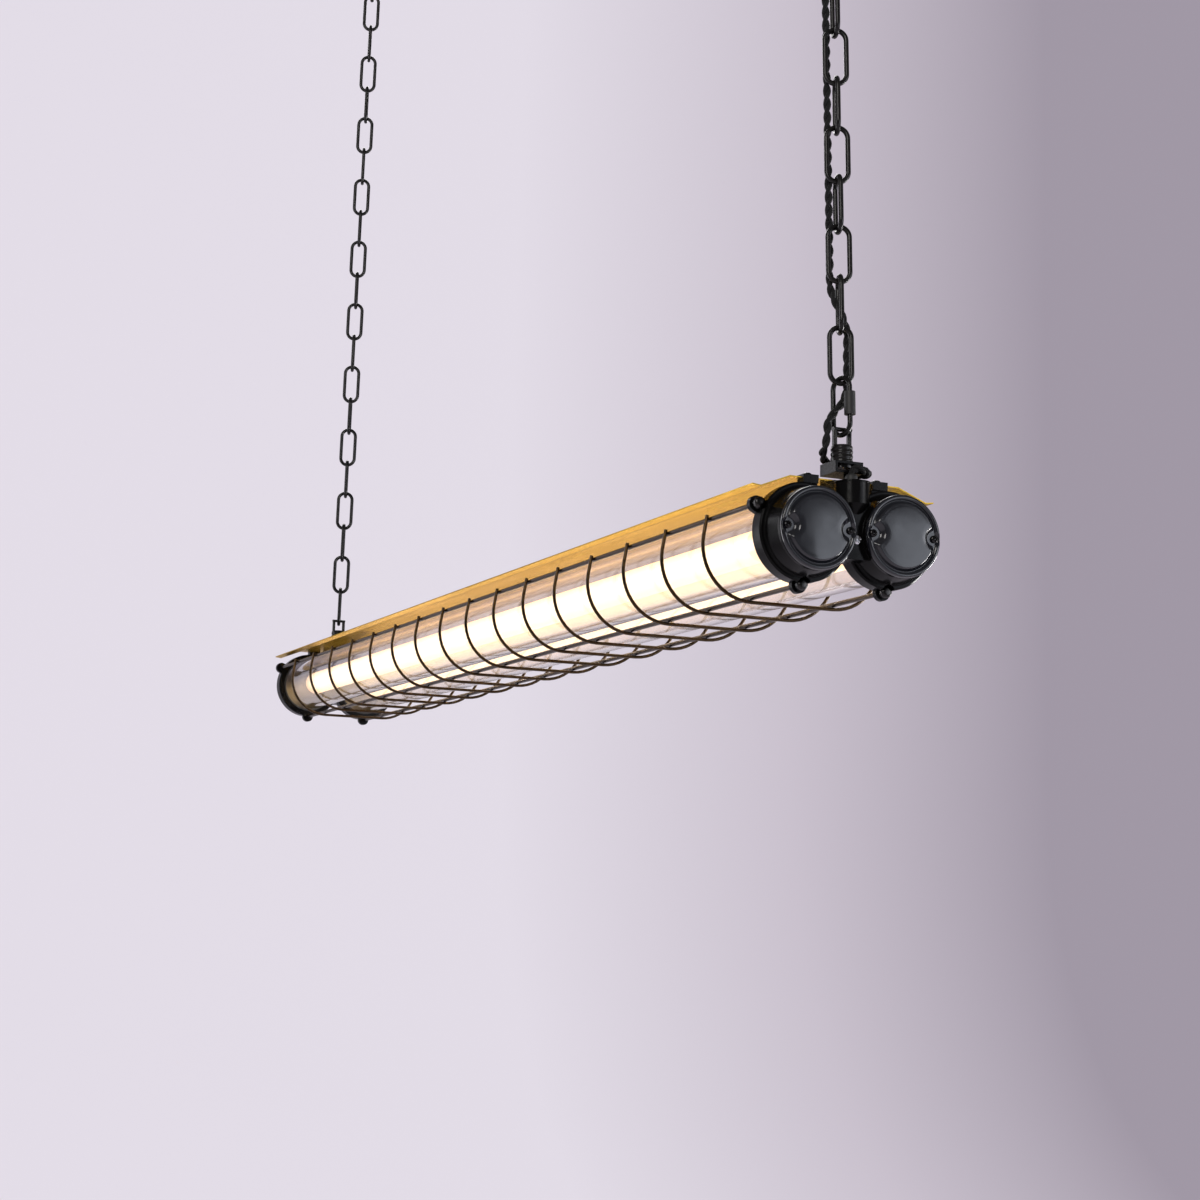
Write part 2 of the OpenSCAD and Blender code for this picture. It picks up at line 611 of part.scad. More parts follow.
// Chains: welded oval links, each turned a quarter from the last
module link() {
  for (s = [-1, 1]) {
    translate([s * crown_r, 0, -link_straight / 2])
      cylinder(r = wire_rad, h = link_straight, $fn = 24);
    translate([0, 0, s * link_straight / 2]) rotate([s * 90, 0, 0])
      rotate_extrude(angle = 180) translate([crown_r, 0]) circle(wire_rad, $fn = 24);
  }
}
function link_s(i) = swing_s + i * link_pitch - crown_span / 2;
function link_angle(i, extra) = link_turn + 90 * (i % 2)
  + (i < link_count - 2 ? wobble * sin(i * 77) : 0) + (i == link_count - 1 ? extra : 0);
module links(first, last, extra) color(black) for (i = [first:last])
  translate([0, 0, -link_s(i)]) rotate([0, 0, link_angle(i, extra)]) link();
module near_top_link() near_line() links(0, 0, 0);
module near_chain() near_line() links(1, link_count - 1, last_turn);
module far_top_link() far_line() links(0, 0, 0);
module far_chain() far_line() links(1, link_count - 1, 0);

// Ceiling: an open hook on a collar and stud, held by the canopy's bracket or by the rose
module ceiling_hook() color(black) {
  bend_z = hook_z + hook_r;
  translate([0, 0, -canopy_h]) cylinder(r = stud_r, h = canopy_h - 2);
  translate([0, 0, -canopy_h - collar_h]) cylinder(r = 8, h = collar_h);
  translate([0, 0, bend_z + hook_r]) cylinder(r = hook_rad, h = hook_neck + 1);
  translate([0, 0, bend_z + hook_r]) sphere(r = hook_rad + hook_swell);
  translate([0, 0, bend_z]) rotate([0, 0, link_turn]) rotate([90, 0, 90])
    rotate([0, 0, 90]) rotate_extrude(angle = 292) translate([hook_r, 0]) circle(hook_rad, $fn = 32);
}
module near_hook() translate([0, -hook_y, 0]) ceiling_hook();
module far_hook() translate([0, hook_y, 0]) ceiling_hook();

module canopy() color(black) translate([0, -hook_y, 0]) difference() {
  edge = 6;
  rotate_extrude() difference() {
    polygon(concat([[0, 0], [canopy_d / 2, 0]],
      [for (a = [0:10:90]) [canopy_d / 2 - edge + edge * cos(a), -canopy_h + edge - edge * sin(a)]],
      [[0, -canopy_h]]));
    polygon(concat([[-1, 1], [canopy_d / 2 - canopy_wall, 1]],
      [for (a = [0:10:90]) [canopy_d / 2 - edge + (edge - canopy_wall) * cos(a),
        -canopy_h + edge - (edge - canopy_wall) * sin(a)]],
      [[-1, -canopy_h + canopy_wall]]));
  }
  translate([0, 0, -canopy_h - 1]) cylinder(r = stud_r + fit, h = 4);
  translate([0, grommet_y, -canopy_h - 1]) cylinder(r = grommet_r + fit, h = 4);
}
module canopy_grommet() color(rubber) translate([0, grommet_y - hook_y, -canopy_h])
  rotate_extrude() polygon([[cord_d / 2 + touch, -2], [grommet_r + 1.6, -2], [grommet_r + 2, -fit],
    [grommet_r, -fit], [grommet_r, canopy_wall + fit], [grommet_r + 1.6, canopy_wall + fit],
    [grommet_r + 1.6, canopy_wall + 1.6], [cord_d / 2 + touch, canopy_wall + 1.6]]);
module canopy_bracket() color(steel) translate([0, -hook_y, -bracket_t]) difference() {
  union() {
    translate([-canopy_d / 2 + 8, -bracket_w / 2, 0]) cube([canopy_d - 16, bracket_w, bracket_t]);
    translate([-block_w / 2, 0, 0]) cube([block_w, grommet_y + block_d / 2, bracket_t]);
  }
  for (s = [-1, 1]) translate([s * screw_pitch / 2, 0, -1])
    cylinder(d = screw_hole_d, h = bracket_t + 2);
  translate([0, 0, -1]) cylinder(r = stud_r + fit, h = bracket_t + 2);
}
module canopy_nut() color(steel) translate([0, -hook_y, -bracket_t - 4 - fit]) difference() {
  cylinder(r = 7.5, h = 4, $fn = 6);
  translate([0, 0, -1]) cylinder(r = stud_r + fit, h = 6);
}
module terminal_block() color([0.9, 0.9, 0.88])
  translate([-block_w / 2, grommet_y - hook_y - block_d / 2, -bracket_t - block_h]) difference() {
    cube([block_w, block_d, block_h]);
    for (i = [0.5:2.5]) translate([i * block_w / 3, -1, block_h / 2]) rotate([-90, 0, 0])
      cylinder(r = 2, h = block_d + 2);
  }
module far_rose() color(black) translate([0, hook_y, 0]) difference() {
  rose_r = screw_pitch / 2 + 8;
  neck_r = 12;
  rotate_extrude() polygon([[0, 0], [rose_r, 0], [rose_r, -bracket_t + 1],
    [rose_r - 1, -bracket_t], [neck_r + 3, -bracket_t - 1], [neck_r, -8],
    [neck_r - 3, -canopy_h], [0, -canopy_h]]);
  for (s = [-1, 1]) translate([s * screw_pitch / 2, 0, -bracket_t - 2])
    cylinder(d = screw_hole_d, h = bracket_t + 4);
  translate([0, 0, -canopy_h - 1]) cylinder(r = stud_r + fit, h = canopy_h);
}

// Cord: four stretches that meet where the chain turns on its hook, its links and the loop
function down_line(p) = [for (q = p) [q[0], q[1], -q[2]]];
module cord_top() color(black) translate([0, -hook_y, hook_z])
  tube_along(smooth(down_line(CORD_TOP)), cord_d / 2);
module cord_link() color(black) near_line() tube_along(smooth(down_line(CORD_LINK)), cord_d / 2);
module cord_run() color(black) near_line() tube_along(smooth(down_line(CORD_RUN)), cord_d / 2);
module cord_tail() color(black) near_end() translate([0, -hanger_out, 0])
  tube_along(smooth(CORD_TAIL), cord_d / 2);
// Binding round one bar of the last link
module cord_sleeve() color(black) near_line() translate([0, 0, -link_s(link_count - 1)])
  rotate([0, 0, link_angle(link_count - 1, last_turn)]) translate([-crown_r, 0, -8]) difference() {
    cylinder(r = wire_rad + 2.4, h = 18);
    translate([0, 0, -1]) cylinder(r = wire_rad + fit, h = 20);
  }
// Gland round the cord, seated in the boss and standing on it
module boss_grommet() color(rubber) near_end() translate([cord_hole_x, -boss_out, boss_top])
  rotate_extrude() polygon([[cord_d / 2 + fit, 2 - cord_hole], [cord_grip_r, 2 - cord_hole],
    [cord_grip_r, fit], [cord_grip_r + 0.6, fit], [cord_grip_r + 0.3, gland_h - 1.5],
    [cord_grip_r - 0.5, gland_h], [cord_d / 2 + fit, gland_h]]);

canopy();
canopy_bracket();
canopy_nut();
canopy_grommet();
terminal_block();
near_hook();
far_rose();
far_hook();
near_top_link();
near_chain();
far_top_link();
far_chain();
cord_top();
cord_link();
cord_run();
cord_tail();
cord_sleeve();
boss_grommet();
near_casting();
far_casting();
glass_seals();
left_glass();
right_glass();
near_left_cover();
near_right_cover();
far_left_cover();
far_right_cover();
cover_gaskets();
cover_screws();
web_screws();
left_lamp();
right_lamp();
lamp_caps();
near_lamp_holders();
far_lamp_holders();
cage_rods();
cage_hoops();
rod_nuts();
reflector();
reflector_clips();
clip_screws();
near_hanger_box();
far_hanger_box();
near_hanger_loop();
far_hanger_loop();
hanger_nuts();
box_screws();
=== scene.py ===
import json
import math

import bpy
import numpy as np
from mathutils import Euler, Matrix, Vector


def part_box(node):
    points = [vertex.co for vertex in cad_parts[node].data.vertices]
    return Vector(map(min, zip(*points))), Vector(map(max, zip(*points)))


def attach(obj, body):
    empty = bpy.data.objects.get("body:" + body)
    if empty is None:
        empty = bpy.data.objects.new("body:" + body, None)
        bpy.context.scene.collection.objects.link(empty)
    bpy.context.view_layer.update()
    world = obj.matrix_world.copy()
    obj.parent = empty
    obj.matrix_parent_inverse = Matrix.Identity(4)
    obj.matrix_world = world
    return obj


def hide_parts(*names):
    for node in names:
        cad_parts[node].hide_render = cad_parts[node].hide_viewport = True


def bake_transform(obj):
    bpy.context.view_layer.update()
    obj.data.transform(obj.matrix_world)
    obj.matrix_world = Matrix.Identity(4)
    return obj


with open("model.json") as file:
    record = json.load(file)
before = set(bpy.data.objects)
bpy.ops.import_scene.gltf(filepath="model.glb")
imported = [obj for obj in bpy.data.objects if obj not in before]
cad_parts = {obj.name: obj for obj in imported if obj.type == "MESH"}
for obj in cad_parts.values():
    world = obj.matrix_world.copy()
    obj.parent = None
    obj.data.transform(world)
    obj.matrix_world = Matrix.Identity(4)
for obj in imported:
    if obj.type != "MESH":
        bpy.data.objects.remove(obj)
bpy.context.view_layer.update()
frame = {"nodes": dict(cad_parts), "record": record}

# Looks of a pendant light: two caged glass tubes between cast ends, on two chains.
# Metres, +Z up, +Y along the tubes, origin on the ceiling between the two hooks.

scene = bpy.context.scene
nodes = frame["nodes"]
MM = 0.001
TAU = 2 * math.pi


# Sizes, from the part

def middle(node, axis):
    """Where the middle of a node lies along an axis, to a micrometre."""
    low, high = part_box(node)
    return round(float(low[axis] + high[axis]) / 2, 6)


def length(node, axis):
    """A node's size along an axis, to a micrometre."""
    low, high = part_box(node)
    return round(float(high[axis] - low[axis]), 6)


X, Y, Z = range(3)
ENDS = {-1: "near", 1: "far"}           # signs along Y
SIDES = {-1: "left", 1: "right"}        # and along X

HOOK_Y = middle("far_rose", Y)          # each hook's distance from the middle
HOOK_Z = -56 * MM                       # the bend of each hook
HANGER_Y = middle("far_hanger_box", Y)  # axes of the hangers
CHAIN_LINE = 809.4 * MM                 # from the bend of a hook down to the bar of its loop
LEAN = math.asin((HANGER_Y - HOOK_Y) / CHAIN_LINE)      # the chains lean outwards

TUBE_X = middle("far_right_cover", X)   # half the distance between the tubes
AXIS_Z = middle("far_right_cover", Z)   # height of the tubes' axes
COVER_R = length("far_right_cover", X) / 2
COVER_H = length("far_right_cover", Y)  # a cover's face over its back
COVER_Y = middle("far_right_cover", Y) - COVER_H / 2    # backs of the covers
RING_Y = COVER_Y - 33 * MM              # faces of the end rings
SEAT_H = 2.2 * MM                       # seats of a cover's two screws over its back
SCREW_OUT = 26.5 * MM                   # those screws, from the cover's middle


# Meshes

def new_object(name, points, faces):
    """A smooth mesh object at the origin from an array of points and a list of faces."""
    mesh = bpy.data.meshes.new(name)
    mesh.from_pydata(points.reshape(-1, 3).tolist(), [], faces)
    mesh.polygons.foreach_set("use_smooth", [True] * len(mesh.polygons))
    mesh.update()
    obj = bpy.data.objects.new(name, mesh)
    scene.collection.objects.link(obj)
    return obj


def grid_faces(rows, cols, close_rows=False):
    """Quads of a grid of rows by cols points whose columns close on themselves. They point
    outwards where the rows run up an axis and the columns turn anticlockwise about it."""
    row = np.arange(rows if close_rows else rows - 1)
    row, col = np.meshgrid(row, np.arange(cols), indexing="ij")
    row_2, col_2 = (row + 1) % rows, (col + 1) % cols
    corners = [row * cols + col, row * cols + col_2, row_2 * cols + col_2, row_2 * cols + col]
    return np.stack(corners, -1).reshape(-1, 4).tolist()


def merge(parts):
    """Several (points, faces) pairs as one pair, with the faces' numbers moved on."""
    all_points, all_faces, first = [], [], 0
    for points, faces in parts:
        points = points.reshape(-1, 3)
        all_points.append(points)
        all_faces += [[i + first for i in face] for face in faces]
        first += len(points)
    return np.concatenate(all_points), all_faces


def angles(sides):
    """Equal steps round a circle, as one row."""
    return (np.arange(sides) * TAU / sides)[None]


def around(r, z, a):
    """Points (r cos a, r sin a, z) for arrays of radii, heights and angles."""
    return np.stack(np.broadcast_arrays(r * np.cos(a), r * np.sin(a), z), -1)


def turned(radius, height, sides):
    """A profile of radii and heights turned about Z. Where it starts or ends on the axis, the
    points of that row share one place."""
    radius, height = np.asarray(radius, float)[:, None], np.asarray(height, float)[:, None]
    return around(radius, height, angles(sides)), grid_faces(len(radius), sides)


def capped(points, faces, rows, cols):
    """Closes a grid of rows by cols points with one face at each end."""
    last = (rows - 1) * cols
    return points, faces + [list(range(cols))[::-1], list(range(last, last + cols))]


def placed(points, axes, origin):
    """Points with their x, y, z carried along the three axes from the origin."""
    return points.reshape(-1, 3) @ np.array(axes, float) + np.array(origin, float)


UP = [(1, 0, 0), (0, 1, 0), (0, 0, 1)]
OUT = {-1: [(1, 0, 0), (0, 0, 1), (0, -1, 0)],      # a piece's z points out of the near end
       1: [(-1, 0, 0), (0, 0, 1), (0, 1, 0)]}       # or out of the far end


# Node materials

BLACK = (0.0, 0.0, 0.0)
MIX_A, MIX_B, MIX_RESULT = 6, 7, 2      # a Mix node's sockets for colours


class Look:
    """A material with one Principled shader, and short ways to feed its sockets."""

    def __init__(self, name, color, rough, **sockets):
        self.mat = bpy.data.materials.new(name)
        self.mat.use_nodes = True
        self.tree = self.mat.node_tree
        self.shader = self.tree.nodes["Principled BSDF"]
        self.coords = self.tree.nodes.new("ShaderNodeTexCoord")
        for key, value in dict(Base_Color=(*color, 1.0), Roughness=rough, **sockets).items():
            self.shader.inputs[key.replace("_", " ")].default_value = value

    def node(self, kind, **values):
        """A new node. Each value goes to the socket of its name, with _ for a space, or else
        to the node's setting of that name."""
        made = self.tree.nodes.new(kind)
        for key, value in values.items():
            socket = key.replace("_", " ")
            if socket in made.inputs.keys():
                made.inputs[socket].default_value = value
            else:
                setattr(made, key, value)
        return made

    def link(self, source, target):
        self.tree.links.new(source, target)

    def fill(self, socket, value):
        """Feeds a socket from another one, or gives it a number or a colour."""
        if hasattr(value, "links"):
            self.link(value, socket)
        elif isinstance(value, (int, float)):
            socket.default_value = value
        else:
            socket.default_value = (*value, 1)

    def feed(self, **sockets):
        """Links sources to the shader's sockets of those names, with _ for a space."""
        for key, source in sockets.items():
            self.link(source, self.shader.inputs[key.replace("_", " ")])
        return self

    def axis(self, name, vector=None):
        """The X, Y or Z of a vector, or else of the Object coordinates, in metres."""
        made = self.node("ShaderNodeSeparateXYZ")
        source = self.coords.outputs["Object"] if vector is None else vector
        self.link(source, made.inputs["Vector"])
        return made.outputs[name]

    def rays(self):
        """Outputs that are 1 for one kind of ray, such as Is Camera Ray."""
        return self.node("ShaderNodeLightPath").outputs

    def calculate(self, operation, *values):
        """A Math node's result for sockets or numbers."""
        made = self.node("ShaderNodeMath", operation=operation)
        for socket, value in zip(made.inputs, values):
            self.fill(socket, value)
        return made.outputs["Value"]

    def span(self, source, low, high, start=0.0, end=1.0):
        """A straight line from start, where the source is low, to end, where it is high."""
        made = self.node("ShaderNodeMapRange", From_Min=low, From_Max=high, To_Min=start, To_Max=end)
        self.link(source, made.inputs["Value"])
        return made.outputs["Result"]

    def stretch(self, scale, source="Object"):
        """Object coordinates, or UV, multiplied by scale along each axis."""
        made = self.node("ShaderNodeMapping", Scale=scale)
        self.link(self.coords.outputs[source], made.inputs["Vector"])
        return made.outputs["Vector"]

    def noise(self, scale, detail=3.0, rough=0.5, stretch=(1, 1, 1)):
        """Noise of about scale features per metre, fewer along an axis stretched under 1."""
        made = self.node("ShaderNodeTexNoise", Scale=scale, Detail=detail, Roughness=rough)
        self.link(self.stretch(stretch), made.inputs["Vector"])
        return made.outputs["Fac"]

    def ramp(self, source, *stops):
        """A colour ramp through (position, colour or grey) stops."""
        made = self.node("ShaderNodeValToRGB")
        cells = made.color_ramp.elements
        while len(cells) < len(stops):
            cells.new(0.5)
        for cell, (place, value) in zip(cells, stops):
            cell.position = place
            grey = isinstance(value, (int, float))
            cell.color = (value, value, value, 1) if grey else (*value, 1)
        self.link(source, made.inputs["Fac"])
        return made.outputs["Color"]

    def mix(self, factor, a, b, kind="MIX"):
        """Colour a, and colour b by the factor."""
        made = self.node("ShaderNodeMix", data_type="RGBA", blend_type=kind)
        self.fill(made.inputs["Factor"], factor)
        self.fill(made.inputs[MIX_A], a)
        self.fill(made.inputs[MIX_B], b)
        return made.outputs[MIX_RESULT]

    def patches(self, source, low, high, a, b, most=1.0):
        """Colour a where the source is under low, turning to b, by most, where it is over high."""
        return self.mix(self.ramp(source, (low, 0.0), (high, most)), a, b)

    def bump(self, height, strength, distance, normal=None):
        """The normal, tilted where the height changes by up to so many metres."""
        made = self.node("ShaderNodeBump", Strength=strength, Distance=distance)
        self.link(height, made.inputs["Height"])
        if normal is not None:
            self.link(normal, made.inputs["Normal"])
        return made.outputs["Normal"]

    def show(self, factor, other):
        """The surface is the Principled shader, and the other shader by the factor."""
        made = self.node("ShaderNodeMixShader")
        self.link(factor, made.inputs["Fac"])
        self.link(self.shader.outputs[0], made.inputs[1])
        self.link(other.outputs[0], made.inputs[2])
        self.link(made.outputs["Shader"], self.tree.nodes["Material Output"].inputs["Surface"])


EDGE_R = 0.7 * MM       # rounding of painted edges in the normal


def enamel(name, color, worn, rough, grain=900.0, pits=260.0, depth=0.00006, coat=0.0,
           spec=0.3, tint=(1.0, 1.0, 1.0)):
    """Satin paint: a slow change of colour with specks of dust, orange-peel grain and shallow
    pits in the bump, edges rounded by a bevelled normal, and uneven gloss."""
    look = Look(name, color, rough, Coat_Weight=coat, Coat_Roughness=0.12,
                Specular_IOR_Level=spec, Specular_Tint=(*tint, 1.0))
    drift, dust = look.noise(14, 4), look.noise(85, 6, 0.65)
    dusty = tuple(1.4 * c + 0.004 for c in worn)
    base = look.patches(drift, 0.35, 0.7, color, worn)
    base = look.patches(dust, 0.55, 0.85, base, dusty, 0.3)
    edges = look.node("ShaderNodeBevel", samples=4, Radius=EDGE_R).outputs["Normal"]
    peel = look.bump(look.noise(grain, 2), 0.35, depth, edges)
    hollows = look.ramp(look.noise(pits, 3), (0.3, 0.0), (0.42, 1.0))
    gloss = look.ramp(look.noise(60, 5), (0.3, rough - 0.09), (0.75, rough + 0.1))
    return look.feed(Base_Color=base, Normal=look.bump(hollows, 0.3, depth, peel),
                     Roughness=gloss).mat


def bare_metal(name, color, stained, rough):
    """Metal with cloudy stains, fine scratches along Y and uneven gloss."""
    look = Look(name, color, rough, Metallic=1.0)
    clouds = look.noise(120, 5, 0.6)
    base = look.patches(clouds, 0.38, 0.68, color, stained)
    scratches = look.noise(600, 2, 0.5, (1, 0.08, 1))
    gloss = look.ramp(clouds, (0.3, rough - 0.08), (0.7, rough + 0.12))
    return look.feed(Base_Color=base, Normal=look.bump(scratches, 0.25, 0.00003),
                     Roughness=gloss).mat


def moulded(name, color, other, rough):
    """Moulded rubber or plastic: fine matt grain and faint cloudy colour."""
    look = Look(name, color, rough)
    base = look.patches(look.noise(40, 4), 0.4, 0.65, color, other)
    gloss = look.ramp(look.noise(90, 3), (0.3, rough - 0.06), (0.7, rough + 0.08))
    return look.feed(Base_Color=base, Normal=look.bump(look.noise(700, 3), 0.3, 0.00004),
                     Roughness=gloss).mat


PAINTED_LAMP_GLOW = (0.1, 0.066, 0.025)              # painted glow of the lamp's light, in patches on the glass below the lamp
PAINTED_GLOW_Z = (AXIS_Z + 2 * MM, AXIS_Z - 30 * MM)
PAINTED_SHEEN = (0.078, 0.07, 0.082)            # painted sheen of the room's light, in patches on the glass's crown
PAINTED_SHEEN_Z = (AXIS_Z + 8 * MM, AXIS_Z + 20 * MM)


def glass_look():
    """Clear drawn glass: faint draw lines along the tube, and patches of painted light in its
    emission:
    a painted glow of the lamp's light below and a painted sheen of the room's light above. Shadow rays
    pass through."""
    look = Look("clear_drawn_glass", (0.985, 0.97, 0.98), 0.015, Transmission_Weight=1.0,
                IOR=1.47, Emission_Strength=1.0)
    # Patches for the painted light on the glass: the lamp's glow below the axis and the room's sheen
    # on the crown.
    dust = look.ramp(look.noise(24, 5, 0.7), (0.3, 0.7), (0.7, 1.0))
    height = look.axis("Z")
    below = look.ramp(look.span(height, *PAINTED_GLOW_Z), (0.0, 0.0), (0.35, 1.0), (0.65, 0.8), (0.95, 0.1))
    above = look.span(height, *PAINTED_SHEEN_Z)
    # Painted light as emission: the lamp's glow below the axis, the room's sheen above it.
    glow = look.mix(look.mix(dust, BLACK, below), BLACK, PAINTED_LAMP_GLOW)
    glow = look.mix(look.mix(dust, BLACK, above), glow, PAINTED_SHEEN)
    lines = look.noise(42, 2, 0.5, (1, 0.02, 1))
    smears = look.ramp(look.noise(30, 6, 0.7), (0.45, 0.012), (0.8, 0.06))
    look.feed(Normal=look.bump(lines, 0.05, 0.0002), Emission_Color=glow, Roughness=smears)
    clear = look.node("ShaderNodeBsdfTransparent", Color=(0.93, 0.92, 0.93, 1))
    look.show(look.rays()["Is Shadow Ray"], clear)
    return look.mat


LAMP_POWER = 2.6        # a lamp's strength as a light
LAMP_SEEN = 1.0         # and as it is seen


def lamp_look():
    """Lit lamp: warm white over its whole length, deeper in tone just before the caps and
    towards its edges. Its light changes with the distance from the middle, in metres. It is
    seen, also through glass, less strongly than it lights its surroundings, as in a
    photograph of a lit lamp."""
    look = Look("lit_lamp", (0.9, 0.88, 0.82), 0.35, Emission_Strength=LAMP_POWER)
    away = look.calculate("ABSOLUTE", look.axis("Y"))
    light = look.ramp(away, (0.0, (1.0, 0.78, 0.52)), (0.562, (1.0, 0.77, 0.5)),
                      (0.578, (0.95, 0.6, 0.3)), (0.5825, (0.6, 0.32, 0.13)))
    light = look.patches(look.noise(30, 3), 0.3, 0.7, light, (1.0, 0.86, 0.66), 0.08)
    facing = look.node("ShaderNodeLayerWeight", Blend=0.35).outputs["Facing"]
    tone = look.ramp(facing, (0.05, (1.0, 0.86, 0.5)), (0.45, (1.0, 0.74, 0.34)),
                     (0.95, (1.0, 0.55, 0.15)))
    ray = look.rays()
    seen = look.calculate("MAXIMUM", ray["Is Camera Ray"], ray["Is Transmission Ray"])
    return look.feed(Emission_Color=look.mix(seen, light, tone),
                     Emission_Strength=look.span(seen, 0.0, 1.0, LAMP_POWER, LAMP_SEEN)).mat


def cap_look():
    """Pressed cap of a lamp: brushed round, cloudy, with a painted glow of the lamp's light where the
    lamp begins, which falls off with the distance from the middle, in metres."""
    look = Look("pressed_aluminium", (0.6, 0.58, 0.56), 0.35, Metallic=0.8, Emission_Strength=1.0)
    clouds = look.noise(160, 5, 0.6, (1, 6, 1))
    base = look.patches(clouds, 0.35, 0.7, (0.62, 0.6, 0.58), (0.45, 0.43, 0.41))
    # Painted light: the cap glows as if lit by the lamp, most where the lamp begins.
    glow = look.ramp(look.calculate("ABSOLUTE", look.axis("Y")), (0.585, (1.0, 0.7, 0.32)),
                     (0.597, (0.85, 0.5, 0.17)), (0.603, (0.14, 0.09, 0.04)),
                     (0.62, (0.05, 0.035, 0.02)))
    return look.feed(Base_Color=base, Normal=look.bump(clouds, 0.2, 0.00003), Emission_Color=glow,
                     Roughness=look.ramp(clouds, (0.3, 0.28), (0.7, 0.45))).mat


# Lit and shaded tones of one sheet: the gold is painted lamplight below, the bronze painted shade
# above.
GOLD_PAINTED_LAMPLIGHT = [(0.56, 0.345, 0.035), (0.43, 0.255, 0.022), (0.62, 0.405, 0.07)]
BRONZE_PAINTED_SHADE = [(0.27, 0.215, 0.165), (0.2, 0.16, 0.125), (0.33, 0.27, 0.21)]


def sheet_look():
    """Folded sheet in a warm metallic lacquer, painted golder below for the lamps' warm light on it
    and duller bronze on its upper side for shade: rolled streaks along it, faint mottling."""
    look = Look("reflector_painted_lit_and_shaded", GOLD_PAINTED_LAMPLIGHT[0], 0.25, Metallic=0.7,
                Specular_Tint=(1.0, 0.84, 0.42, 1.0))
    streaks = look.noise(90, 4, 0.6, (1, 0.05, 1))
    clouds = look.noise(9, 5, 0.6)

    def lacquer(plain, mottled, streaked):
        tone = look.patches(clouds, 0.35, 0.7, plain, mottled)
        return look.patches(streaks, 0.45, 0.75, tone, streaked, 0.3)

    # Painted light and shade by which way a face points: faces pointing down get the lit gold, faces
    # pointing up the shaded bronze.
    normal = look.node("ShaderNodeNewGeometry").outputs["True Normal"]
    base = look.patches(look.axis("Z", normal), 0.1, 0.5, lacquer(*GOLD_PAINTED_LAMPLIGHT), lacquer(*BRONZE_PAINTED_SHADE))
    return look.feed(Base_Color=base, Normal=look.bump(streaks, 0.03, 0.00005),
                     Roughness=look.ramp(streaks, (0.3, 0.14), (0.7, 0.3))).mat


BRAID_ALONG, BRAID_ROUND = 520, 3.0     # stretch of the threads' bands, per metre and per turn


def textile_look():
    """Braided black textile: diamonds of two crossing thread directions from the piece's UV,
    u along the strand and v round it."""
    look = Look("black_braid", (0.006, 0.006, 0.006), 0.75, Specular_IOR_Level=0.25,
                Sheen_Weight=0.05, Sheen_Roughness=0.5)
    waves = []
    for sign in (1, -1):
        wave = look.node("ShaderNodeTexWave", wave_type="BANDS", bands_direction="DIAGONAL",
                         Scale=1.0, Distortion=0.4)
        look.link(look.stretch((BRAID_ALONG, sign * BRAID_ROUND, 0), "UV"), wave.inputs["Vector"])
        waves.append(wave.outputs["Fac"])
    weave = look.mix(0.5, *waves, "MULTIPLY")
    base = look.patches(weave, 0.1, 0.8, (0.002, 0.002, 0.002), (0.012, 0.0115, 0.012))
    return look.feed(Base_Color=base, Normal=look.bump(weave, 0.7, 0.0003)).mat


# The record's white_plastic is painted brown here: painted lamplight and shade on the holders, which
# sit under the lamps' light.
FINISHES = {
    "black_enamel": enamel("satin_black_enamel", (0.0022, 0.0022, 0.0024),
                           (0.0045, 0.0042, 0.0045), 0.24, spec=0.13),
    "cast_enamel": enamel("cast_black_enamel", (0.0018, 0.0018, 0.002), (0.004, 0.0037, 0.0038),
                          0.2, grain=700.0, pits=170.0, spec=0.09),
    "cover_enamel": enamel("pressed_cover_enamel", (0.008, 0.0085, 0.0115),
                           (0.0095, 0.01, 0.0135), 0.17, pits=120.0, depth=0.00001, coat=0.25,
                           spec=0.4),
    "black_iron": enamel("blackened_iron", (0.003, 0.0028, 0.0028), (0.008, 0.0066, 0.006), 0.3,
                         grain=1400.0, pits=420.0, depth=0.00005, spec=0.28),
    # The wire's orange specular tint is a painted reflection colour: the lamps' warm light in its
    # glints.
    "black_wire": enamel("lacquered_wire", (0.003, 0.0026, 0.0025), (0.006, 0.005, 0.0045), 0.2,
                         spec=0.5, tint=(1.0, 0.58, 0.24)),
    "blackened_screw": bare_metal("blackened_steel", (0.02, 0.02, 0.021), (0.045, 0.042, 0.04), 0.2),
    "zinc_steel": bare_metal("zinc_plate", (0.58, 0.58, 0.6), (0.42, 0.42, 0.44), 0.32),
    "brass_screw": bare_metal("yellow_plate", (0.85, 0.52, 0.2), (0.5, 0.28, 0.1), 0.25),
    "clear_glass": glass_look(),
    "lamp_glow": lamp_look(),
    "lamp_cap": cap_look(),
    # The holders' brown is painted lamplight and shade on white plastic.
    "white_plastic": moulded("white_moulding_painted_lamplit", (0.2, 0.15, 0.11), (0.13, 0.1, 0.075), 0.45),
    "black_rubber": moulded("black_rubber_moulding", (0.008, 0.008, 0.008),
                            (0.014, 0.0135, 0.013), 0.55),
    "braided_cord": textile_look(),
    "reflector_sheet": sheet_look(),
}
for part in frame["record"]["subparts"]:
    mesh = nodes[part["node"]].data
    mesh.materials.clear()
    mesh.materials.append(FINISHES[part["material_slot"]])


def dress(obj, slot, body, *replaced):
    """The finish, body and replaced nodes of a new piece."""
    obj.data.materials.append(FINISHES[slot])
    if body:
        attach(obj, body)
    if replaced:
        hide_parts(*replaced)


# Camera

